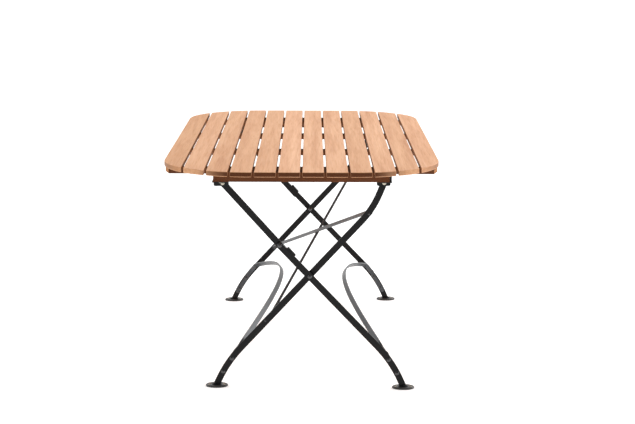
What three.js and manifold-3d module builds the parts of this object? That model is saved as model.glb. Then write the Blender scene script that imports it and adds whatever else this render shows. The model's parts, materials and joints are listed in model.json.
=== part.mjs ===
// Folding garden table: a slatted hardwood top on two crossed flat-steel frames.
//
// Units are millimetres. X runs across the table, Y along the slats and Z up. The origin is on the
// floor under the middle of the top. "Front" is the -Y end. Each end has the same linkage, in three
// flat layers side by side: the lower legs of frame A outside, the short upper link behind them, and
// frame B inside. The link and frame B hang from the top; the knuckle between the link and the lower
// leg breaks upwards when the frames fold up under the top.

import * as THREE from 'three';
import { mergeVertices } from 'three/addons/utils/BufferGeometryUtils.js';
import Module from 'manifold-3d';

const wasm = await Module();
wasm.setup();

// ---------------------------------------------------------------- driving dimensions
const GAP = 0.3;                 // clearance between pieces that touch

// top
const SLAT_COUNT = 12;
const SLAT_WIDTH = 66.5;
const SLAT_SPACE = 7.5;
const SLAT_THICK = 16;
const SLAT_EDGE = 1.6;           // chamfer along every slat edge
const TOP_HEIGHT = 738;
const TOP_LENGTH = 1630;
const CORNER_X = 275;            // the rounded corners
const CORNER_Y = 272;

// cross pieces under the slats
const BATTEN_THICK = 16;
const BATTEN_WIDE = 50;
const BATTEN_Y = [205, 614];     // distance of each batten pair from mid-length
const BATTEN_INSET = 3;          // how far the batten ends stay inside the slats' outline
const RAIL_TALL = 31;
const RAIL_WIDE = 70;
const RAIL_HALF = 275;
const RAIL_INNER_Y = 640;

// steel
const LEG_WIDE = 21;
const LEG_THICK = 6;
const LAYER_PITCH = 10;          // from one linkage layer to the next
const LAYER_A = 622;             // middle of the outermost layer, the lower legs of frame A
const LAYER_LINK = LAYER_A - LAYER_PITCH;
const LAYER_B = LAYER_A - 2 * LAYER_PITCH;
const PIVOT_Z = 672;             // height of both hinge pins under the top
const PIVOT_LINK_X = -250.4;
const PIVOT_B_X = 263.5;
const KNUCKLE = new THREE.Vector2(-69.2, 471.3);
const CROSSING = new THREE.Vector2(27.3, 369.9);
const KNEE_A = new THREE.Vector2(294.5, 89.3);    // corners, before they are rounded
const KNEE_B = new THREE.Vector2(-239.1, 82.2);
const NECK_B = new THREE.Vector2(228.3, 587);
const KNEE_RADIUS = 400;
const NECK_RADIUS = 290;
const FOOT_A_X = 331.5;
const FOOT_B_X = -274.5;

// feet
const FOOT_HALF_X = 36.5;
const FOOT_HALF_Y = 25;
const FOOT_THICK = 6;
const FOOT_EDGE = 1.2;

// arched stretchers: flat bars that spring from the legs' inner faces
const ARCH_WIDE = 16;
const ARCH_THICK = 5;
const ARCH_REACH = 600;          // half the curve's span, to where it meets the leg
const ARCH_CLEAR = 36;           // the bend onto the leg takes over this far short of there
const ARCH_A = { base: [298.9, 104.5], slope: 139.8, rise: 194, drop: 147, flare: 15.6 };
const ARCH_B = { base: [-236.5, 104.7], slope: 41, rise: 215, drop: 187, flare: 29 };
const ARCH_BEND = 46;            // the centre line's radius in the bend onto the leg
const ARCH_STUB = 3;             // the straight length below that bend
const ARCH_LEAN = 70;            // below this height the bar leans over towards the leg
const ARCH_OFF_LEG = 0.25;       // the part of its way to the leg's centre line that it doesn't lean
const TAB_DOWN = 12;             // the flat end reaches this far below the lower rivet
const RIVET_HEIGHTS_A = [50, 95];
const RIVET_HEIGHTS_B = [49, 93];

// X brace in the plane of frame B
const BRACE_WIDE = 16;
const BRACE_THICK = 5;
const BRACE_LOW = 184.5;         // along the leg from the knee corner
const BRACE_HIGH = 668;
const BRACE_OFFSET = 0.8;        // the braces meet this far above the leg's middle
const BRACE_SPACE = 4.2;         // between the two bars where they cross
const BRACE_SHOULDER = 6.5;      // radius of the centre rivet's shoulder, which keeps them apart
const BRACE_RIVET_SHIFT = 2.3;   // the end rivets sit this far across the leg from there
const BRACE_DOME_RADIUS = 4;

// rivets, pins and their holes
const PIN_RADIUS = 4;
const RIVET_RADIUS = 3;
const BRACE_RIVET_RADIUS = 2.5;
const HOLE_PLAY = 0.35;
const DOME_RADIUS = 7.4;
const DOME_HEIGHT = 3.6;
const SMALL_DOME_RADIUS = 5;
const SMALL_DOME_HEIGHT = 2.2;

// stop lug on the end of the link
const LINK_TAIL = 58;            // link beyond the knuckle
const LUG_FROM = 23;
const LUG_THICK = 5;
const LUG_GAP = 1.8;

// brackets under the rails
const BRACKET_THICK = 4;
const EAR_SPACE = 1.2;           // between an ear and the bar beside it
const BRACKET_OUTER_Y = 698;
const LINK_BRACKET_X = [-279, -231];
const FRAME_BRACKET_X = [240, 283.5];
const EAR_BOTTOM = 663;
const EAR_CORNER = 5;
const FLANGE_THICK = 8;
const FLANGE_TOP = 707;

// ---------------------------------------------------------------- materials
const slatWood = new THREE.MeshStandardMaterial({ color: 0xd9a47c, roughness: 0.6, metalness: 0 });
const railWood = new THREE.MeshStandardMaterial({ color: 0xa8673f, roughness: 0.65, metalness: 0 });
const blackSteel = new THREE.MeshStandardMaterial({ color: 0x2b2b2c, roughness: 0.45, metalness: 0.6 });
const rivetSteel = new THREE.MeshStandardMaterial({ color: 0x333335, roughness: 0.35, metalness: 0.7 });

const table = new THREE.Group();

function add(name, geometry, material) {
  const mesh = new THREE.Mesh(geometry, material);
  mesh.name = name;
  table.add(mesh);
}

// ---------------------------------------------------------------- joining and cutting
function toSolid(geometry) {
  const bare = geometry.index ? geometry.toNonIndexed() : geometry.clone();
  bare.deleteAttribute('normal');
  bare.deleteAttribute('uv');
  const merged = mergeVertices(bare, 1e-4);
  return new wasm.Manifold(new wasm.Mesh({
    numProp: 3,
    vertProperties: new Float32Array(merged.attributes.position.array),
    triVerts: new Uint32Array(merged.index.array),
  }));
}

function fromSolid(solid) {
  const mesh = solid.getMesh();
  const geometry = new THREE.BufferGeometry();
  geometry.setAttribute('position', new THREE.BufferAttribute(new Float32Array(mesh.vertProperties), 3));
  geometry.setIndex(new THREE.BufferAttribute(new Uint32Array(mesh.triVerts), 1));
  geometry.computeVertexNormals();
  return geometry;
}

function joined(...geometries) {
  return fromSolid(geometries.map(toSolid).reduce((whole, piece) => whole.add(piece)));
}

function drilled(geometry, ...tools) {
  return fromSolid(tools.map(toSolid).reduce((whole, tool) => whole.subtract(tool), toSolid(geometry)));
}

// ---------------------------------------------------------------- plane geometry
const point = (x, y) => new THREE.Vector2(x, y);

function crossingOf(p, q, r, s) {
  const a = q.clone().sub(p);
  const b = s.clone().sub(r);
  const along = r.clone().sub(p).cross(b) / a.cross(b);
  return p.clone().addScaledVector(a, along);
}

function stepFrom(start, towards, distance) {
  return start.clone().addScaledVector(towards.clone().sub(start).normalize(), distance);
}

// The points of an arc of the given radius that rounds the corner of a line.
function softCorner(before, corner, after, radius, steps) {
  const arriving = corner.clone().sub(before).normalize();
  const leaving = after.clone().sub(corner).normalize();
  const turn = Math.atan2(arriving.cross(leaving), arriving.dot(leaving));
  const reach = radius * Math.tan(Math.abs(turn) / 2);
  const start = corner.clone().addScaledVector(arriving, -reach);
  const side = point(-arriving.y, arriving.x).multiplyScalar(Math.sign(turn) * radius);
  const centre = start.clone().add(side);
  return Array.from({ length: steps + 1 }, (_, i) => start.clone().rotateAround(centre, turn * i / steps));
}

// The directions at each point of a line, square to it and to its left, and as long as a mitre needs.
function mitres(line) {
  return line.map((here, i) => {
    const into = here.clone().sub(line[Math.max(i - 1, 0)]).normalize();
    const out = line[Math.min(i + 1, line.length - 1)].clone().sub(here).normalize();
    const along = into.clone().add(out).normalize();
    const stretch = i === 0 || i === line.length - 1 ? 1 : 1 / along.dot(out);
    return point(-along.y, along.x).multiplyScalar(stretch);
  });
}

// A bar's outline along a line. ends: 'round', 'square' or a level at which it is cut off.
function barOutline(line, halfWidth, startEnd, finishEnd) {
  const across = mitres(line);
  const left = line.map((p, i) => p.clone().addScaledVector(across[i], halfWidth));
  const right = line.map((p, i) => p.clone().addScaledVector(across[i], -halfWidth));
  const last = line.length - 1;
  const cap = (centre, from) => Array.from({ length: 9 }, (_, i) =>
    from.clone().rotateAround(centre, -Math.PI * (i + 1) / 10));
  if (typeof finishEnd === 'number') {
    const along = line[last].clone().sub(line[last - 1]);
    for (const edge of [left, right]) {
      edge[last].addScaledVector(along, (finishEnd - edge[last].y) / along.y);
    }
  }
  const finishCap = finishEnd === 'round' ? cap(line[last], left[last]) : [];
  const startCap = startEnd === 'round' ? cap(line[0], right[0]) : [];
  return [...left, ...finishCap, ...right.reverse(), ...startCap];
}

// The outline is turned to run anticlockwise and the holes run clockwise.
function shapeOf(outline, holes = []) {
  const shape = new THREE.Shape(THREE.ShapeUtils.isClockWise(outline) ? [...outline].reverse() : outline);
  for (const [centre, radius] of holes) {
    const path = new THREE.Path();
    path.absarc(centre.x, centre.y, radius, 0, 2 * Math.PI, true);
    shape.holes.push(path);
  }
  return shape;
}

// ---------------------------------------------------------------- solids
const HOLE_STEPS = 10;           // half the segments round each drilled hole

// A plate that stands square to Y, between two values of Y. The shape's x is X and its y is Z.
function plateXZ(shape, yOne, yTwo) {
  const geometry = new THREE.ExtrudeGeometry(shape, {
    depth: Math.abs(yTwo - yOne), bevelEnabled: false, curveSegments: HOLE_STEPS,
  });
  geometry.rotateX(Math.PI / 2);
  geometry.translate(0, Math.max(yOne, yTwo), 0);
  return geometry;
}

// A flat piece that lies level, from zLow to zHigh, with its edges chamfered.
function boardXY(outline, zLow, zHigh, edge) {
  const geometry = new THREE.ExtrudeGeometry(new THREE.Shape(outline), {
    depth: zHigh - zLow - 2 * edge,
    bevelEnabled: edge > 0,
    bevelThickness: edge,
    bevelSize: edge,
    bevelOffset: -edge,
    bevelSegments: 1,
  });
  geometry.translate(0, 0, zLow + edge);
  return geometry;
}

function block(xs, ys, zs) {
  const size = [xs, ys, zs].map(([a, b]) => Math.abs(b - a));
  const geometry = new THREE.BoxGeometry(...size);
  geometry.translate(...[xs, ys, zs].map(([a, b]) => (a + b) / 2));
  return geometry;
}

// A turned piece whose axis is parallel to Y, through (x, z). The profile is [radius, y] from the
// middle of the table outwards, and side is -1 at the front and 1 at the back.
function turned(profile, side, x, z) {
  const ordered = side > 0 ? profile : [...profile].reverse();
  const geometry = new THREE.LatheGeometry(ordered.map(([r, y]) => point(r, side * y)), 20);
  geometry.translate(x, 0, z);
  return geometry;
}

function domeProfile(base, radius, height) {
  const outwards = Math.sign(height);
  return [0.25, 0.5, 0.75, 1].map((t) => {
    const angle = t * Math.PI / 2;
    return [radius * Math.cos(angle), base + outwards * Math.abs(height) * Math.sin(angle)];
  });
}

// A rivet with a dome at each end, from inner face to outer face.
function rivet(side, centre, inner, outer, shank, innerDome, outerDome) {
  const tail = domeProfile(inner, innerDome[0], -innerDome[1]).reverse();
  tail[0][0] = 0;
  const head = domeProfile(outer, outerDome[0], outerDome[1]);
  head[head.length - 1][0] = 0;
  const profile = [...tail, [innerDome[0], inner], [shank, inner], [shank, outer], [outerDome[0], outer], ...head];
  return turned(profile, side, centre.x, centre.y);
}

// ---------------------------------------------------------------- linkage points, in X and Z
const pivotLink = point(PIVOT_LINK_X, PIVOT_Z);
const pivotB = point(PIVOT_B_X, PIVOT_Z);
const crossing = CROSSING;
const knuckle = KNUCKLE;
const linkTail = stepFrom(knuckle, pivotLink, -LINK_TAIL);
const ankleA = point(FOOT_A_X, FOOT_THICK + GAP);
const ankleB = point(FOOT_B_X, FOOT_THICK + GAP);

// The middle lines of the lower leg of frame A and of frame B's leg, from the top down.
const lineA = [knuckle, crossing, ...softCorner(crossing, KNEE_A, ankleA, KNEE_RADIUS, 10), ankleA];
const lineB = [
  pivotB, ...softCorner(pivotB, NECK_B, crossing, NECK_RADIUS, 12), crossing,
  ...softCorner(crossing, KNEE_B, ankleB, KNEE_RADIUS, 10), ankleB,
];

function atHeight(line, height) {
  const next = line.findIndex((p) => p.y < height);
  const [above, below] = [line[next - 1], line[next]];
  return above.clone().lerp(below, (above.y - height) / (above.y - below.y));
}

const rivetsA = RIVET_HEIGHTS_A.map((height) => atHeight(lineA, height));
const rivetsB = RIVET_HEIGHTS_B.map((height) => atHeight(lineB, height));

// The brace that runs from low at the back to high at the front lies on top of the other.
const braceIsUpper = (which, side) => (which === 'low') === (side > 0);

function braceRivetAt(which, side) {
  const alongLeg = NECK_B.clone().sub(KNEE_B).normalize();
  const across = point(-alongLeg.y, alongLeg.x);
  const shift = BRACE_OFFSET + (braceIsUpper(which, side) ? -BRACE_RIVET_SHIFT : BRACE_RIVET_SHIFT);
  const distance = which === 'low' ? BRACE_LOW : BRACE_HIGH;
  return KNEE_B.clone().addScaledVector(alongLeg, distance).addScaledVector(across, shift);
}

const SIDES = [['front', -1], ['back', 1]];
const layer = (middle, thick = LEG_THICK) => [middle - thick / 2, middle + thick / 2];

// ---------------------------------------------------------------- the slatted top
const topHalfWidth = (SLAT_COUNT * SLAT_WIDTH + (SLAT_COUNT - 1) * SLAT_SPACE) / 2;
const slatBottom = TOP_HEIGHT - SLAT_THICK;
const underSlats = slatBottom - GAP;

// Distance from mid-length to the end of the top, at a distance across from the middle.
function topEnd(across) {
  const into = Math.max(0, Math.abs(across) - (topHalfWidth - CORNER_X)) / CORNER_X;
  return TOP_LENGTH / 2 - CORNER_Y + CORNER_Y * Math.sqrt(Math.max(0, 1 - into * into));
}

// Half the width of the top at a distance from mid-length.
function topHalfAt(along) {
  const into = Math.max(0, Math.abs(along) - (TOP_LENGTH / 2 - CORNER_Y)) / CORNER_Y;
  return topHalfWidth - CORNER_X + CORNER_X * Math.sqrt(Math.max(0, 1 - into * into));
}

function slat(index) {
  const left = -topHalfWidth + index * (SLAT_WIDTH + SLAT_SPACE);
  const outer = Math.abs(left + SLAT_WIDTH / 2);
  const straight = outer + SLAT_WIDTH / 2 < topHalfWidth - CORNER_X;
  const steps = straight ? 1 : 12;
  // Equal angles round the ellipse keep the outermost slat's steep end smooth.
  const sideways = (x) => Math.max(0, Math.abs(x) - (topHalfWidth - CORNER_X)) / CORNER_X;
  const angle = (x) => Math.sign(x) * Math.asin(Math.min(1, sideways(x)));
  const from = angle(left);
  const to = angle(left + SLAT_WIDTH);
  const ends = Array.from({ length: steps + 1 }, (_, i) => {
    if (straight || i === 0 || i === steps) {
      const x = left + SLAT_WIDTH * i / steps;
      return point(x, topEnd(x));
    }
    const turn = from + (to - from) * i / steps;
    const bend = Math.sign(turn) * (topHalfWidth - CORNER_X + CORNER_X * Math.abs(Math.sin(turn)));
    return point(bend, topEnd(bend));
  });
  const near = ends.map((p) => point(p.x, -p.y));
  return boardXY([...near, ...ends.reverse()], slatBottom, TOP_HEIGHT, SLAT_EDGE);
}

for (let i = 0; i < SLAT_COUNT; i += 1) {
  add(`slat_${String(i + 1).padStart(2, '0')}`, slat(i), slatWood);
}

function batten(middle) {
  const ys = [middle - BATTEN_WIDE / 2, middle + BATTEN_WIDE / 2];
  const [nearHalf, farHalf] = ys.map((y) => topHalfAt(y) - BATTEN_INSET);
  const outline = [point(-nearHalf, ys[0]), point(nearHalf, ys[0]), point(farHalf, ys[1]), point(-farHalf, ys[1])];
  return boardXY(outline, underSlats - BATTEN_THICK, underSlats, 1);
}

for (const [end, side] of SIDES) {
  add(`batten_${end}_mid`, batten(side * BATTEN_Y[0]), railWood);
  add(`batten_${end}_end`, batten(side * BATTEN_Y[1]), railWood);
}

function rail(side) {
  const ys = [side * RAIL_INNER_Y, side * (RAIL_INNER_Y + RAIL_WIDE)].sort((a, b) => a - b);
  const outline = [
    point(-RAIL_HALF, ys[0]), point(RAIL_HALF, ys[0]), point(RAIL_HALF, ys[1]), point(-RAIL_HALF, ys[1]),
  ];
  return boardXY(outline, underSlats - RAIL_TALL, underSlats, 1);
}

for (const [end, side] of SIDES) {
  add(`end_rail_${end}`, rail(side), railWood);
}

// ---------------------------------------------------------------- hinge brackets and their pins
const plateTop = underSlats - RAIL_TALL - GAP;
const plateBottom = plateTop - BRACKET_THICK;

// A vertical ear that the pin goes through, with rounded lower corners.
function ear(pivot, [left, right], ys) {
  const top = plateTop - 1;
  const corner = (centreX, from) => Array.from({ length: 6 }, (_, i) => {
    const angle = from + Math.PI / 2 * i / 5;
    return point(centreX + EAR_CORNER * Math.cos(angle), EAR_BOTTOM + EAR_CORNER + EAR_CORNER * Math.sin(angle));
  });
  const outline = [
    point(right, top), point(left, top),
    ...corner(left + EAR_CORNER, Math.PI), ...corner(right - EAR_CORNER, 1.5 * Math.PI),
  ];
  return plateXZ(shapeOf(outline, [[pivot, PIN_RADIUS + HOLE_PLAY]]), ...ys);
}

function linkBracket(side) {
  const inner = LAYER_LINK + LEG_THICK / 2 + EAR_SPACE;
  const plate = block(LINK_BRACKET_X, [side * inner, side * BRACKET_OUTER_Y], [plateBottom, plateTop]);
  return joined(plate, ear(pivotLink, LINK_BRACKET_X, [side * inner, side * (inner + BRACKET_THICK)]));
}

function frameBracket(side) {
  const inner = LAYER_B + LEG_THICK / 2 + EAR_SPACE;
  const plate = block(FRAME_BRACKET_X, [side * inner, side * BRACKET_OUTER_Y], [plateBottom, plateTop]);
  const flangeX = RAIL_HALF + GAP;
  const flange = block([flangeX, flangeX + FLANGE_THICK], [side * 646, side * 692], [plateBottom, FLANGE_TOP]);
  return joined(plate, flange, ear(pivotB, FRAME_BRACKET_X, [side * inner, side * (inner + BRACKET_THICK)]));
}

function hingePin(side, pivot, barLayer) {
  const inner = layer(barLayer)[0] - GAP;
  const outer = layer(barLayer)[1] + EAR_SPACE + BRACKET_THICK + GAP;
  return rivet(side, pivot, inner, outer, PIN_RADIUS, [6.5, 2], [6.5, 3]);
}

for (const [end, side] of SIDES) {
  add(`link_bracket_${end}`, linkBracket(side), blackSteel);
  add(`frame_b_bracket_${end}`, frameBracket(side), blackSteel);
  add(`link_hinge_pin_${end}`, hingePin(side, pivotLink, LAYER_LINK), rivetSteel);
  add(`frame_b_hinge_pin_${end}`, hingePin(side, pivotB, LAYER_B), rivetSteel);
}

// ---------------------------------------------------------------- the bars of the linkage
const hole = (centre, radius) => [centre, radius + HOLE_PLAY];

function barAt(line, side, middle, holes, startEnd, finishEnd) {
  const outline = barOutline(line, LEG_WIDE / 2, startEnd, finishEnd);
  return plateXZ(shapeOf(outline, holes), ...layer(middle).map((y) => side * y));
}

// The upper link, with a lug at its tail that folds out over the edge of the lower leg.
function upperLink(side) {
  const bar = barAt([pivotLink, linkTail], side, LAYER_LINK, [hole(pivotLink, PIN_RADIUS)], 'round', 'round');
  const along = linkTail.clone().sub(pivotLink).normalize();
  const above = point(-along.y, along.x);
  const spot = (distance, height) =>
    knuckle.clone().addScaledVector(along, distance).addScaledVector(above, height);
  const low = LEG_WIDE / 2 + LUG_GAP;
  const high = low + LUG_THICK;
  const cheek = [spot(LUG_FROM, 2), spot(LINK_TAIL, 2), spot(LINK_TAIL, high), spot(LUG_FROM, high)];
  const lip = [spot(LUG_FROM, low), spot(LINK_TAIL, low), spot(LINK_TAIL, high), spot(LUG_FROM, high)];
  const [inner, outer] = layer(LAYER_LINK);
  const lipOuter = layer(LAYER_A)[1];
  return joined(
    bar,
    plateXZ(shapeOf(cheek), side * inner, side * outer),
    plateXZ(shapeOf(lip), side * (outer - 1), side * lipOuter),
  );
}

function lowerLegA(side) {
  const holes = [
    hole(knuckle, PIN_RADIUS), hole(crossing, PIN_RADIUS),
    ...rivetsA.map((centre) => hole(centre, RIVET_RADIUS)),
  ];
  return barAt(lineA, side, LAYER_A, holes, 'round', ankleA.y);
}

function legB(side) {
  const holes = [
    hole(pivotB, PIN_RADIUS), hole(crossing, PIN_RADIUS),
    ...rivetsB.map((centre) => hole(centre, RIVET_RADIUS)),
    hole(braceRivetAt('low', side), BRACE_RIVET_RADIUS), hole(braceRivetAt('high', side), BRACE_RIVET_RADIUS),
  ];
  return barAt(lineB, side, LAYER_B, holes, 'round', ankleB.y);
}

// The knuckle rivet turns in the lower leg and stops short of the link.
function knuckleRivet(side) {
  const [inner, outer] = layer(LAYER_A);
  return rivet(side, knuckle, inner - GAP, outer + GAP, PIN_RADIUS, [6, 0.5], [DOME_RADIUS, DOME_HEIGHT]);
}

function crossingRivet(side) {
  const inner = layer(LAYER_B)[0] - GAP;
  const outer = layer(LAYER_A)[1] + GAP;
  return rivet(side, crossing, inner, outer, PIN_RADIUS, [DOME_RADIUS, 2.6], [DOME_RADIUS, DOME_HEIGHT]);
}

function crossingSpacer(side) {
  const inner = layer(LAYER_B)[1] + GAP;
  const outer = layer(LAYER_A)[0] - GAP;
  const bore = PIN_RADIUS + HOLE_PLAY;
  const radius = LEG_WIDE / 2;
  const profile = [[bore, inner], [radius, inner], [radius, outer], [bore, outer], [bore, inner]];
  return turned(profile, side, crossing.x, crossing.y);
}

for (const [end, side] of SIDES) {
  add(`upper_link_${end}`, upperLink(side), blackSteel);
  add(`lower_leg_a_${end}`, lowerLegA(side), blackSteel);
  add(`leg_b_${end}`, legB(side), blackSteel);
  add(`knuckle_rivet_${end}`, knuckleRivet(side), rivetSteel);
  add(`crossing_rivet_${end}`, crossingRivet(side), rivetSteel);
  add(`crossing_spacer_${end}`, crossingSpacer(side), rivetSteel);
}

// ---------------------------------------------------------------- feet
function footPad(centreX, centreY) {
  const outline = Array.from({ length: 32 }, (_, i) => {
    const angle = 2 * Math.PI * i / 32;
    return point(centreX + FOOT_HALF_X * Math.cos(angle), centreY + FOOT_HALF_Y * Math.sin(angle));
  });
  return boardXY(outline, 0, FOOT_THICK, FOOT_EDGE);
}

for (const [end, side] of SIDES) {
  add(`foot_a_${end}`, footPad(FOOT_A_X, side * LAYER_A), blackSteel);
  add(`foot_b_${end}`, footPad(FOOT_B_X, side * LAYER_B), blackSteel);
}

// ---------------------------------------------------------------- arched stretchers
// A frame's own plane holds Y and a slope in X and Z. Shapes are drawn as (Y, height up the slope).
function inSlope(geometry, base, slope) {
  const up = point(Math.cos(slope), Math.sin(slope));
  const frame = new THREE.Matrix4().makeBasis(
    new THREE.Vector3(0, 1, 0), new THREE.Vector3(up.x, 0, up.y), new THREE.Vector3(up.y, 0, -up.x),
  );
  frame.setPosition(base.x, 0, base.y);
  geometry.applyMatrix4(frame);
  return geometry;
}

// The arch's centre line, from one end to the other: over the curve and round a bend at each end.
function archLine(arch, tabY) {
  const height = (y) => {
    const t = (y / ARCH_REACH) ** 2;
    return arch.rise - arch.drop * t + arch.flare * t * t;
  };
  const clear = ARCH_REACH - ARCH_CLEAR;
  const over = Array.from({ length: 25 }, (_, i) => {
    const y = -clear + 2 * clear * i / 24;
    return point(y, height(y));
  });
  const corner = crossingOf(over[0], over[1], point(-tabY, 0), point(-tabY, 1));
  const bend = softCorner(point(-tabY, 0), corner, over[0], ARCH_BEND, 10);
  const foot = bend[0].y - ARCH_STUB;
  const otherBend = bend.map((p) => point(-p.x, p.y)).reverse();
  return [point(-tabY, foot), ...bend, ...over, ...otherBend, point(tabY, foot)];
}

// Where the bar starts up the slope, and how far it leans sideways from there to meet the flat end.
function archFoot(arch, line, tabY) {
  const slope = THREE.MathUtils.degToRad(arch.slope);
  const height = archLine(arch, tabY)[0].y;
  const start = point(...arch.base).add(point(Math.cos(slope), Math.sin(slope)).multiplyScalar(height));
  const across = point(Math.sin(slope), -Math.cos(slope));
  const beside = atHeight(line, start.y);
  const onLeg = crossingOf(start, start.clone().add(across), beside, atHeight(line, start.y + 20));
  const top = onLeg.lerp(start, ARCH_OFF_LEG);
  return { height, top, sideways: top.clone().sub(start).dot(across) };
}

// The flat end that lies on the leg's inner face and runs through both of its rivets.
function archTab(top, rivets, ys) {
  const [lower, upper] = rivets;
  const line = [stepFrom(top, upper, -2), upper, stepFrom(lower, upper, -TAB_DOWN)];
  const holes = rivets.map((centre) => hole(centre, RIVET_RADIUS));
  return plateXZ(shapeOf(barOutline(line, ARCH_WIDE / 2, 'round', 'round'), holes), ...ys);
}

function archedStretcher(arch, middle, line, rivets) {
  const tabOuter = layer(middle)[0] - GAP;
  const tabInner = tabOuter - ARCH_THICK;
  const tabY = (tabOuter + tabInner) / 2;
  const foot = archFoot(arch, line, tabY);
  const outline = barOutline(archLine(arch, tabY), ARCH_THICK / 2, 'square', 'square');
  const bar = new THREE.ExtrudeGeometry(new THREE.Shape(outline), { depth: ARCH_WIDE, bevelEnabled: false });
  bar.translate(0, 0, -ARCH_WIDE / 2);
  const place = bar.getAttribute('position');
  for (let i = 0; i < place.count; i += 1) {
    const lean = 1 - THREE.MathUtils.smoothstep(place.getY(i), foot.height, ARCH_LEAN);
    place.setZ(i, place.getZ(i) + foot.sideways * lean);
  }
  inSlope(bar, point(...arch.base), THREE.MathUtils.degToRad(arch.slope));
  const tabs = [-1, 1].map((side) => archTab(foot.top, rivets, [side * tabInner, side * tabOuter]));
  return joined(bar, ...tabs);
}

add('arch_a', archedStretcher(ARCH_A, LAYER_A, lineA, rivetsA), blackSteel);
add('arch_b', archedStretcher(ARCH_B, LAYER_B, lineB, rivetsB), blackSteel);

for (const [end, side] of SIDES) {
  const ends = [
    ['a_lower', rivetsA[0], LAYER_A], ['a_upper', rivetsA[1], LAYER_A],
    ['b_lower', rivetsB[0], LAYER_B], ['b_upper', rivetsB[1], LAYER_B],
  ];
  for (const [which, centre, middle] of ends) {
    const inner = layer(middle)[0] - ARCH_THICK - 2 * GAP;
    const outer = layer(middle)[1] + GAP;
    const small = [SMALL_DOME_RADIUS, SMALL_DOME_HEIGHT];
    const piece = rivet(side, centre, inner, outer, RIVET_RADIUS, small, [DOME_RADIUS, DOME_HEIGHT]);
    add(`arch_rivet_${which}_${end}`, piece, rivetSteel);
  }
}

// ---------------------------------------------------------------- X brace
// Each brace is a flat bar in frame B's plane. Its ends fold square onto the legs' inner faces.
function inBracePlane(geometry) {
  const alongLeg = NECK_B.clone().sub(KNEE_B).normalize();
  const across = point(-alongLeg.y, alongLeg.x);
  return inSlope(geometry, KNEE_B.clone().addScaledVector(across, BRACE_OFFSET), alongLeg.angle());
}

function brace(upper) {
  const faceY = layer(LAYER_B)[0] - GAP;
  const lowSide = upper ? 1 : -1;
  const low = point(lowSide * faceY, BRACE_LOW);
  const high = point(-lowSide * faceY, BRACE_HIGH);
  const run = high.clone().sub(low).normalize();
  const upright = BRACE_WIDE / 2 / Math.abs(run.x);
  const outline = [
    point(low.x, low.y - upright), point(high.x, high.y - upright),
    point(high.x, high.y + upright), point(low.x, low.y + upright),
  ];
  const middle = point(0, (BRACE_LOW + BRACE_HIGH) / 2);
  // Depth grows downwards from the plane, so the upper bar takes the negative side.
  const near = upper ? -BRACE_SPACE / 2 - BRACE_THICK : BRACE_SPACE / 2;
  const bar = new THREE.ExtrudeGeometry(shapeOf(outline, [hole(middle, RIVET_RADIUS)]), {
    depth: BRACE_THICK, bevelEnabled: false, curveSegments: HOLE_STEPS,
  });
  bar.translate(0, 0, near);
  const edge = LEG_WIDE / 2 - 0.5;
  const reach = upper ? [near, edge + BRACE_OFFSET] : [-edge + BRACE_OFFSET, near + BRACE_THICK];
  const tabs = [low, high].map((end) => {
    const inward = -Math.sign(end.x);
    return block([end.x, end.x + inward * BRACE_THICK], [end.y - upright, end.y + upright], reach);
  });
  const whole = joined(...[bar, ...tabs].map(inBracePlane));
  const drills = [['low', lowSide], ['high', -lowSide]].map(([which, side]) => {
    const radius = BRACE_RIVET_RADIUS + HOLE_PLAY;
    const drill = new THREE.CylinderGeometry(radius, radius, 20, 20);
    const centre = braceRivetAt(which, side);
    drill.translate(centre.x, side * faceY, centre.y);
    return drill;
  });
  return drilled(whole, ...drills);
}

add('brace_lower', brace(false), blackSteel);
add('brace_upper', brace(true), blackSteel);

function braceCentreRivet() {
  const half = BRACE_SPACE / 2 + BRACE_THICK + GAP;
  const shoulder = BRACE_SPACE / 2 - GAP;
  const head = domeProfile(half, SMALL_DOME_RADIUS, SMALL_DOME_HEIGHT);
  head[head.length - 1][0] = 0;
  const upperHalf = [
    [BRACE_SHOULDER, shoulder], [RIVET_RADIUS, shoulder], [RIVET_RADIUS, half], [SMALL_DOME_RADIUS, half], ...head,
  ];
  const lowerHalf = upperHalf.map(([r, y]) => [r, -y]).reverse();
  const profile = [...lowerHalf, ...upperHalf];
  const geometry = new THREE.LatheGeometry(profile.map(([r, y]) => point(r, y)), 20);
  geometry.rotateX(Math.PI / 2);
  geometry.translate(0, (BRACE_LOW + BRACE_HIGH) / 2, 0);
  return inBracePlane(geometry);
}

add('brace_centre_rivet', braceCentreRivet(), rivetSteel);

for (const [end, side] of SIDES) {
  for (const which of ['low', 'high']) {
    const inner = layer(LAYER_B)[0] - BRACE_THICK - 2 * GAP;
    const outer = layer(LAYER_B)[1] + GAP;
    const dome = [BRACE_DOME_RADIUS, SMALL_DOME_HEIGHT];
    const piece = rivet(side, braceRivetAt(which, side), inner, outer, BRACE_RIVET_RADIUS, dome, dome);
    add(`brace_rivet_${which}_${end}`, piece, rivetSteel);
  }
}

export default table;
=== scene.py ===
"""Looks for the folding garden table: materials, small hardware, floor, lights and camera."""

import json
import math

import bmesh
import bpy
from mathutils import Matrix, Vector


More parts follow.
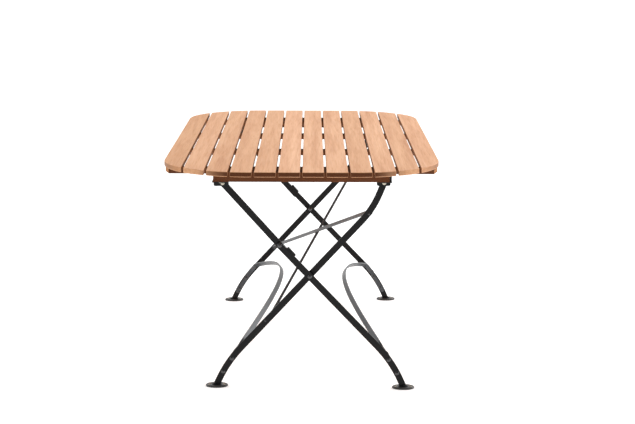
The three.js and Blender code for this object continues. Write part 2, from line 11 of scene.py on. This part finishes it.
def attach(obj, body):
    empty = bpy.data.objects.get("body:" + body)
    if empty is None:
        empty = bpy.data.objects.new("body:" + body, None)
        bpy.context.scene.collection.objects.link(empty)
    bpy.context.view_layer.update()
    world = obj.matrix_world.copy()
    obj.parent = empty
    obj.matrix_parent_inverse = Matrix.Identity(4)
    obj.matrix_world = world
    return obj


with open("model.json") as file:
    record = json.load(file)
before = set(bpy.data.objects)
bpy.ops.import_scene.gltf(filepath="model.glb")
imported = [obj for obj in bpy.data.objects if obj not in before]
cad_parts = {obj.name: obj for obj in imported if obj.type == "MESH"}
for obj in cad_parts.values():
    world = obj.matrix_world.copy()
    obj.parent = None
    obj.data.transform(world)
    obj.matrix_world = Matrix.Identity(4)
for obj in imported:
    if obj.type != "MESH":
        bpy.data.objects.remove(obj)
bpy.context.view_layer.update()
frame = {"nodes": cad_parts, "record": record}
nodes = frame["nodes"]
scene = bpy.context.scene


# ---------------------------------------------------------------- camera, floor and lights
CAMERA_PLACE = (0.0281, -5.6353, 1.4881)
CAMERA_TURN = (-0.265, 79.737, 0.215)  # yaw, pitch and roll in degrees
CAMERA_LENS = 90.71  # in mm, on a sensor 36 mm wide
FLOOR_HALF = 60.0
FLOOR_WHITE = 0.86
FLOOR_GLOW = 0.4


def add_camera():
    data = bpy.data.cameras.new("camera")
    data.lens = CAMERA_LENS
    data.sensor_width = 36.0
    data.clip_end = 200.0
    obj = bpy.data.objects.new("camera", data)
    obj.location = CAMERA_PLACE
    yaw, pitch, roll = (math.radians(angle) for angle in CAMERA_TURN)
    turn = Matrix.Rotation(yaw, 4, "Z") @ Matrix.Rotation(pitch, 4, "X") @ Matrix.Rotation(roll, 4, "Z")
    obj.rotation_euler = turn.to_euler()
    scene.collection.objects.link(obj)
    scene.camera = obj


def add_softbox(name, location, target, size, power):
    """A rectangular light that points at the target."""
    data = bpy.data.lights.new(name, "AREA")
    data.shape = "RECTANGLE"
    data.size, data.size_y = size
    data.energy = power
    obj = bpy.data.objects.new(name, data)
    obj.location = location
    aim = Vector(target) - Vector(location)
    obj.rotation_euler = aim.to_track_quat("-Z", "Y").to_euler()
    scene.collection.objects.link(obj)


def add_world():
    """A studio that is bright overhead, behind and to the sides, and dim behind the camera."""
    world = bpy.data.worlds.new("studio")
    world.use_nodes = True
    tree = world.node_tree
    coords = tree.nodes.new("ShaderNodeTexCoord")
    split = tree.nodes.new("ShaderNodeSeparateXYZ")
    tree.links.new(coords.outputs["Generated"], split.inputs["Vector"])
    ramp = tree.nodes.new("ShaderNodeMapRange")
    ramp.interpolation_type = "SMOOTHSTEP"
    for name, number in (("From Min", -0.95), ("From Max", 0.1), ("To Min", 0.03), ("To Max", 0.95)):
        ramp.inputs[name].default_value = number
    tree.links.new(split.outputs["Y"], ramp.inputs["Value"])
    background = tree.nodes["Background"]
    background.inputs["Color"].default_value = (1.0, 1.0, 1.0, 1.0)
    tree.links.new(ramp.outputs["Result"], background.inputs["Strength"])
    scene.world = world


def add_sun(strength, angle, tilt):
    """One very wide, soft light from above. Angles are in degrees."""
    data = bpy.data.lights.new("overhead", "SUN")
    data.energy = strength
    data.angle = math.radians(angle)
    obj = bpy.data.objects.new("overhead", data)
    obj.rotation_euler = (math.radians(tilt[0]), math.radians(tilt[1]), 0.0)
    scene.collection.objects.link(obj)


def add_floor():
    """A plain pale floor that glows a little, so that it runs out to white."""
    mesh = bpy.data.meshes.new("floor")
    corners = [(FLOOR_HALF * x, FLOOR_HALF * y, 0) for x, y in ((-1, -1), (1, -1), (1, 1), (-1, 1))]
    mesh.from_pydata(corners, [], [(0, 1, 2, 3)])
    obj = bpy.data.objects.new("floor", mesh)
    scene.collection.objects.link(obj)
    material = bpy.data.materials.new("floor")
    material.use_nodes = True
    shader = material.node_tree.nodes["Principled BSDF"]
    shader.inputs["Base Color"].default_value = (FLOOR_WHITE, FLOOR_WHITE, FLOOR_WHITE, 1.0)
    shader.inputs["Roughness"].default_value = 0.7
    shader.inputs["Specular IOR Level"].default_value = 0.2
    shader.inputs["Emission Color"].default_value = (1.0, 1.0, 1.0, 1.0)
    shader.inputs["Emission Strength"].default_value = FLOOR_GLOW
    mesh.materials.append(material)


scene.view_settings.view_transform = "Standard"
scene.view_settings.look = "None"
add_camera()
add_world()
add_floor()
add_sun(strength=0.85, angle=70.0, tilt=(-20.0, 6.0))
add_softbox("left", (-3.4, 1.4, 2.2), target=(0.0, 0.0, 0.4), size=(1.6, 2.4), power=32.0)
add_softbox("right", (3.4, 1.7, 2.2), target=(0.0, 0.0, 0.4), size=(1.6, 2.4), power=62.0)
add_softbox("front_left", (-4.2, -2.6, 1.7), target=(0.0, 0.0, 0.3), size=(0.8, 1.6), power=22.0)
add_softbox("front_right", (4.2, -2.6, 1.7), target=(0.0, 0.0, 0.3), size=(0.8, 1.6), power=30.0)


# ---------------------------------------------------------------- material helpers
class Graph:
    """A material, with short calls that add and link its shader nodes."""

    def __init__(self, name):
        self.material = bpy.data.materials.new(name)
        self.material.use_nodes = True
        self.tree = self.material.node_tree
        self.shader = self.tree.nodes["Principled BSDF"]
        self.coords = self.tree.nodes.new("ShaderNodeTexCoord")

    def link(self, source, target):
        self.tree.links.new(source, target)

    def mapped(self, scale, offset=(0, 0, 0)):
        node = self.tree.nodes.new("ShaderNodeMapping")
        node.inputs["Scale"].default_value = scale
        node.inputs["Location"].default_value = offset
        self.link(self.coords.outputs["Object"], node.inputs["Vector"])
        return node.outputs["Vector"]

    def noise(self, vector, scale, detail=4.0, roughness=0.55, distortion=0.0):
        node = self.tree.nodes.new("ShaderNodeTexNoise")
        node.inputs["Scale"].default_value = scale
        node.inputs["Detail"].default_value = detail
        node.inputs["Roughness"].default_value = roughness
        node.inputs["Distortion"].default_value = distortion
        self.link(vector, node.inputs["Vector"])
        return node.outputs["Fac"]

    def ramp(self, value, stops):
        node = self.tree.nodes.new("ShaderNodeValToRGB")
        ramp = node.color_ramp
        while len(ramp.elements) < len(stops):
            ramp.elements.new(0.5)
        for element, (place, colour) in zip(ramp.elements, stops):
            element.position = place
            element.color = (*colour, 1.0)
        self.link(value, node.inputs["Fac"])
        return node.outputs["Color"]

    def mix(self, factor, first, second, blend="MIX"):
        node = self.tree.nodes.new("ShaderNodeMix")
        node.data_type = "RGBA"
        node.blend_type = blend
        for socket, value in ((node.inputs[0], factor), (node.inputs[6], first), (node.inputs[7], second)):
            if hasattr(value, "is_output"):
                self.link(value, socket)
            elif isinstance(value, tuple):
                socket.default_value = (*value, 1.0)
            else:
                socket.default_value = value
        return node.outputs[2]

    def map_range(self, value, low, high, to_low, to_high):
        node = self.tree.nodes.new("ShaderNodeMapRange")
        for name, number in (("From Min", low), ("From Max", high), ("To Min", to_low), ("To Max", to_high)):
            node.inputs[name].default_value = number
        self.link(value, node.inputs["Value"])
        return node.outputs["Result"]

    def bump(self, height, strength, distance):
        node = self.tree.nodes.new("ShaderNodeBump")
        node.inputs["Strength"].default_value = strength
        node.inputs["Distance"].default_value = distance
        self.link(height, node.inputs["Height"])
        self.link(node.outputs["Normal"], self.shader.inputs["Normal"])

    def facing(self, axis):
        """How squarely the surface faces along an axis of the object: 0 to 1."""
        split = self.tree.nodes.new("ShaderNodeSeparateXYZ")
        self.link(self.coords.outputs["Normal"], split.inputs["Vector"])
        size = self.tree.nodes.new("ShaderNodeMath")
        size.operation = "ABSOLUTE"
        self.link(split.outputs[axis], size.inputs[0])
        return size.outputs[0]


def tinted(colour, shift):
    """A colour moved lighter or darker, and a little redder when darker."""
    red, green, blue = colour
    return (red * (1 + shift), green * (1 + 1.3 * shift), blue * (1 + 1.9 * shift))


GRAIN_LENGTHWAYS = 0.045  # the grain's scale along the piece, next to 1 across it
BROAD_GRAIN = 26.0
FINE_GRAIN = 95.0
PORES = 620.0
END_SPOTS = 700.0


def wood(name, pale, middle, dark, end_grain, seed, shift=0.0, along="Y", rough=0.42, shine=0.12, sides=0.0):
    """Oiled hardwood: grain along the piece, fine pores, other tones on the ends, and painted shade on the
    sides that face into the gaps between slats.
    """
    g = Graph(name)
    stretch = (1.0, GRAIN_LENGTHWAYS, 1.0) if along == "Y" else (GRAIN_LENGTHWAYS, 1.0, 1.0)
    place = (seed * 1.7, seed * 0.9, seed * 2.3)
    broad = g.noise(g.mapped(stretch, place), BROAD_GRAIN, 5.0, 0.55, 0.6)
    figure = g.noise(g.mapped(stretch, (place[1], place[2], place[0])), FINE_GRAIN, 4.0, 0.6, 0.3)
    pore_stretch = tuple(0.35 * scale if scale < 1 else scale for scale in stretch)
    pores = g.noise(g.mapped(pore_stretch, place), PORES, 2.0, 0.5)
    tones = [tinted(colour, shift) for colour in (dark, middle, pale)]
    tone = g.ramp(broad, list(zip((0.28, 0.5, 0.74), tones)))
    lines = g.ramp(figure, [(0.36, (0.78, 0.66, 0.55)), (0.56, (1.0, 1.0, 1.0))])
    grained = g.mix(0.45, tone, lines, "MULTIPLY")
    flecks = g.ramp(pores, [(0.30, (0.66, 0.50, 0.38)), (0.44, (1.0, 1.0, 1.0))])
    body = g.mix(0.35, grained, flecks, "MULTIPLY")
    # Painted shade: faces that point along X, the slats' sides in the gaps between them, are darkened towards
    # a dark brown.
    body = g.mix(g.map_range(g.facing("X"), 0.75, 0.95, 0.0, sides), body, SIDE_SHADE, "MULTIPLY")
    ends = g.map_range(g.facing(along), 0.82, 0.975, 0.0, 1.0)
    end_spots = g.noise(g.mapped((1.0, 1.0, 1.0), place), END_SPOTS, 3.0)
    end_tone = g.ramp(end_spots, [(0.35, tuple(0.6 * c for c in end_grain)), (0.65, end_grain)])
    g.link(g.mix(ends, body, end_tone), g.shader.inputs["Base Color"])
    g.link(g.map_range(pores, 0.3, 0.7, rough + 0.16, rough), g.shader.inputs["Roughness"])
    g.shader.inputs["Specular IOR Level"].default_value = shine
    g.bump(pores, 0.25, 0.0002)
    return g.material


def coated_steel(name, colour, rough, shine=0.5, metal=0.0):
    """Powder coat or zinc on steel, slightly cloudy, with a fine orange-peel texture."""
    g = Graph(name)
    g.shader.inputs["Specular IOR Level"].default_value = shine
    g.shader.inputs["Metallic"].default_value = metal
    peel = g.noise(g.mapped((1.0, 1.0, 1.0)), 900.0, 2.0, 0.5)
    cloud = g.noise(g.mapped((1.0, 1.0, 1.0)), 18.0, 3.0, 0.6)
    tone = g.ramp(cloud, [(0.3, tuple(0.8 * c for c in colour)), (0.7, tuple(1.25 * c for c in colour))])
    g.link(tone, g.shader.inputs["Base Color"])
    g.link(g.map_range(cloud, 0.3, 0.7, rough - 0.04, rough + 0.06), g.shader.inputs["Roughness"])
    g.bump(peel, 0.12, 0.00012)
    return g.material


# Linear colours. SLAT_TONES says how much lighter or darker each slat is than the average board.
SLAT_PALE = (0.81, 0.472, 0.278)
SLAT_MIDDLE = (0.72, 0.390, 0.215)
SLAT_DARK = (0.635, 0.315, 0.162)
SLAT_END = (0.13, 0.040, 0.013)
# Painted shade for the slats' sides, which face into the narrow gaps between the slats.
SIDE_SHADE = (0.37, 0.28, 0.19)
SLAT_TONES = (-0.14, -0.04, -0.08, -0.07, -0.06, 0.04, -0.01, 0.0, -0.06, 0.0, -0.04, 0.02)
# Painted shade: the battens and rails under the slats are painted much darker than the slats, for the shade
# under the tabletop. Their end faces keep a lighter tone.
SHADED_RAIL_PALE = (0.155, 0.067, 0.034)
SHADED_RAIL_MIDDLE = (0.112, 0.045, 0.022)
SHADED_RAIL_DARK = (0.070, 0.026, 0.0125)
RAIL_END = (0.55, 0.26, 0.12)

# Name, linear colour, roughness, shine and how metallic. The arches and braces are in the same black paint as
# the legs; their lighter, more metallic copies are painted sheen for the light they catch at a glancing
# angle, and the lower brace's copy is also dull so that it looks darker.
black_steel = coated_steel("black_steel", (0.0085, 0.0085, 0.009), 0.34, 0.18)
pad_steel = coated_steel("pad_steel", (0.022, 0.022, 0.023), 0.30, 0.55)
dull_steel = coated_steel("dull_steel", (0.03, 0.03, 0.031), 0.8, 0.08)
arch_steel_painted_sheen = coated_steel("arch_steel_painted_sheen", (0.068, 0.073, 0.080), 0.38, 0.4, 0.4)
brace_steel_painted_sheen = coated_steel("brace_steel_painted_sheen", (0.045, 0.048, 0.053), 0.42, 0.35, 0.35)
rivet_steel = coated_steel("rivet_steel", (0.030, 0.031, 0.034), 0.10, 1.0, 0.2)
zinc_steel = coated_steel("zinc_steel", (0.50, 0.46, 0.38), 0.4, 0.5, 0.7)

# Steel pieces that aren't plain black, by the start of their names. The arches and braces get the copies with
# painted sheen.
SPECIAL_STEEL = {
    "arch_": arch_steel_painted_sheen,
    "foot_": pad_steel,
    "brace_lower": dull_steel,
    "brace_upper": brace_steel_painted_sheen,
}


# ---------------------------------------------------------------- the CAD pieces
SLAT_ROUND = 0.0007  # how far each kind of edge is rounded
PLAIN_ROUND = 0.0006
RIVET_ROUND = 0.0004


def soften(obj, width):
    """Rounds the piece's edges. The mesh itself stays as it came."""
    if "custom_normal" in obj.data.attributes:
        obj.data.attributes.remove(obj.data.attributes["custom_normal"])
    for polygon in obj.data.polygons:
        polygon.use_smooth = True
    weld = obj.modifiers.new("weld", "WELD")
    weld.merge_threshold = 0.00001
    flat = obj.modifiers.new("flat_faces", "DECIMATE")
    flat.decimate_type = "DISSOLVE"
    flat.angle_limit = math.radians(0.5)
    bevel = obj.modifiers.new("rounded_edges", "BEVEL")
    bevel.width = width
    bevel.segments = 2
    bevel.limit_method = "ANGLE"
    bevel.angle_limit = math.radians(31)
    obj.modifiers.new("normals", "WEIGHTED_NORMAL").keep_sharp = False


def paint(obj, material):
    """Replaces whatever material the piece came with."""
    obj.data.materials.clear()
    obj.data.materials.append(material)


def steel_for(name):
    """The finish of a bar, bracket or foot."""
    for start, material in SPECIAL_STEEL.items():
        if name.startswith(start):
            return material
    return black_steel


def finish_cad_nodes():
    """Gives every CAD piece its material and softens its edges."""
    slots = {part["node"]: part["material_slot"] for part in frame["record"]["subparts"]}
    for name, obj in sorted(nodes.items()):
        slot = slots[name]
        if slot == "slat_wood":
            number = int(name.split("_")[1])
            tone = SLAT_TONES[number - 1]
            paint(obj, wood(name, SLAT_PALE, SLAT_MIDDLE, SLAT_DARK, SLAT_END, 3.1 * number, tone, sides=0.8))
            soften(obj, SLAT_ROUND)
        elif slot == "rail_wood":
            # The battens' and rails' dark colours are painted shade for their place under the tabletop.
            seed = 40 + 5.3 * sum(ord(letter) for letter in name) % 37  # a different grain for each piece
            paint(obj, wood(name, SHADED_RAIL_PALE, SHADED_RAIL_MIDDLE, SHADED_RAIL_DARK, RAIL_END, seed, 0.0, "X", 0.6, 0.01))
            soften(obj, PLAIN_ROUND)
        elif slot == "black_steel":
            paint(obj, steel_for(name))
            soften(obj, PLAIN_ROUND)
        else:
            paint(obj, zinc_steel if "hinge_pin" in name else rivet_steel)
            soften(obj, RIVET_ROUND)


finish_cad_nodes()


# ---------------------------------------------------------------- small hardware
# Radius and height of each kind of screw head.
SLAT_SCREW = (0.0035, 0.0012)
RAIL_SCREW = (0.004, 0.0012)
BRACKET_SCREW = (0.0045, 0.0018)
FOOT_SCREW = (0.0028, 0.001)
SUNK = 0.001  # how far heads and welds reach into the surface under them

SLAT_SCREW_STEP = (0.012, 0.011)  # half the distance between a slat's two screws, across and along it
SLAT_PITCH = 0.074
BRACKET_SCREW_STEP = 0.014
BRACKET_DEPTH = 0.0046  # from the rail's underside to the bracket's
FRAME_B_SCREW_SHIFT = 0.005  # these screws sit beside the pin
FOOT_SCREW_PLACES = ((-0.022, 0.007), (0.022, 0.007), (-0.026, -0.006), (0.026, -0.006))

RIM_INSET = 0.004
RIM_WIDE = 0.0016
RIM_TALL = 0.0012
WELD_PROFILE = ((0, -SUNK), (0.0165, -SUNK), (0.0158, 0.0014), (0.0135, 0.003), (0.011, 0.004), (0, 0.004))
WELD_OVAL = (1.0, 0.5)


def add_turned(shape, profile, centre, steps, stretch):
    """Turns a profile of (radius, height) about an upright axis. Where the radius is 0 it closes."""
    rings = []
    for radius, height in profile:
        count = 1 if radius == 0 else steps
        ring = []
        for i in range(count):
            angle = 2 * math.pi * i / steps
            x = radius * stretch[0] * math.cos(angle)
            y = radius * stretch[1] * math.sin(angle)
            ring.append(shape.verts.new(Vector(centre) + Vector((x, y, height))))
        rings.append(ring)
    for first, second in zip(rings, rings[1:]):
        for i in range(steps):
            j = (i + 1) % steps
            corners = [ring[k % len(ring)] for ring, k in ((first, i), (first, j), (second, j), (second, i))]
            unique = list(dict.fromkeys(corners))
            if len(unique) > 2:
                shape.faces.new(unique)
    bmesh.ops.recalc_face_normals(shape, faces=shape.faces)


def turned_piece(name, profile, places, material, body, steps=12, stretch=(1.0, 1.0)):
    """A new object that moves with a body: one turned profile, repeated at each place."""
    shape = bmesh.new()
    for place in places:
        add_turned(shape, profile, place, steps, stretch)
    mesh = bpy.data.meshes.new(name)
    shape.to_mesh(mesh)
    shape.free()
    for polygon in mesh.polygons:
        polygon.use_smooth = True
    obj = bpy.data.objects.new(name, mesh)
    scene.collection.objects.link(obj)
    mesh.materials.append(material)
    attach(obj, body)


def screw_profile(size, sign):
    """A pan head with a round recess. It faces down where the sign is -1 and up where it is 1."""
    radius, height = size
    return [
        (0, -sign * SUNK), (radius, -sign * SUNK), (radius, sign * height * 0.35),
        (radius * 0.86, sign * height * 0.8), (radius * 0.55, sign * height), (radius * 0.42, sign * height),
        (radius * 0.3, sign * height * 0.2), (0, sign * height * 0.1),
    ]


def box_of(name):
    """The lowest and highest corners of a CAD piece."""
    obj = nodes[name]
    corners = [obj.matrix_world @ Vector(corner) for corner in obj.bound_box]
    low = Vector([min(corner[axis] for corner in corners) for axis in range(3)])
    high = Vector([max(corner[axis] for corner in corners) for axis in range(3)])
    return low, high


def screws_below(name, size, places, steps=12):
    """Screw heads under the tabletop."""
    turned_piece(name, screw_profile(size, -1), places, zinc_steel, "tabletop", steps)


def add_slat_screws():
    """Two screws through each batten into each slat, set slantwise, one way and the other in turn."""
    across, along = SLAT_SCREW_STEP
    slats = [box_of(f"slat_{number:02d}") for number in range(1, 13)]
    for batten in ("batten_front_end", "batten_front_mid", "batten_back_mid", "batten_back_end"):
        low, high = box_of(batten)
        middle = (low.y + high.y) / 2
        places = []
        for number, (left, right) in enumerate(slats):
            x = (left.x + right.x) / 2
            lean = across if number % 2 else -across
            places += [(x + side * lean, middle + side * along, low.z) for side in (-1, 1)]
        screws_below(f"screws_{batten}", SLAT_SCREW, places)


def add_rail_screws():
    """Five screws through each end rail, and two through each bracket on it."""
    for end in ("front", "back"):
        low, high = box_of(f"end_rail_{end}")
        middle = (low.y + high.y) / 2
        places = [(SLAT_PITCH * number, middle, low.z) for number in range(-2, 3)]
        screws_below(f"screws_end_rail_{end}", RAIL_SCREW, places)
        for bracket, shift in (("link_bracket", 0), ("frame_b_bracket", -FRAME_B_SCREW_SHIFT)):
            inner, outer = box_of(f"{bracket}_{end}")
            x = (inner.x + outer.x) / 2 + shift
            level = low.z - BRACKET_DEPTH
            places = [(x, middle + step, level) for step in (-BRACKET_SCREW_STEP, BRACKET_SCREW_STEP)]
            screws_below(f"screws_{bracket}_{end}", BRACKET_SCREW, places, steps=14)


def add_feet_details():
    """A raised rim, a weld collar and four small screws on each foot pad."""
    for frame_name, body in (("a", "frame_a"), ("b", "frame_b")):
        for end in ("front", "back"):
            foot = f"{frame_name}_{end}"
            low, high = box_of(f"foot_{foot}")
            x, y = (low.x + high.x) / 2, (low.y + high.y) / 2
            centre = (x, y, high.z)
            radius = (high.x - low.x) / 2 - RIM_INSET
            oval = (1.0, ((high.y - low.y) / 2 - RIM_INSET) / radius)
            turns = [math.pi * step / 4 for step in range(9)]
            bead = [(radius + RIM_WIDE * math.cos(turn), RIM_TALL * math.sin(turn)) for turn in turns]
            turned_piece(f"foot_rim_{foot}", bead, [centre], pad_steel, body, 48, oval)
            weld = f"foot_weld_{foot}"
            turned_piece(weld, WELD_PROFILE, [centre], black_steel, body, 28, WELD_OVAL)
            places = [(x + across, y + along, high.z) for across, along in FOOT_SCREW_PLACES]
            head = screw_profile(FOOT_SCREW, 1)
            turned_piece(f"foot_screws_{foot}", head, places, zinc_steel, body)


add_slat_screws()
add_rail_screws()
add_feet_details()
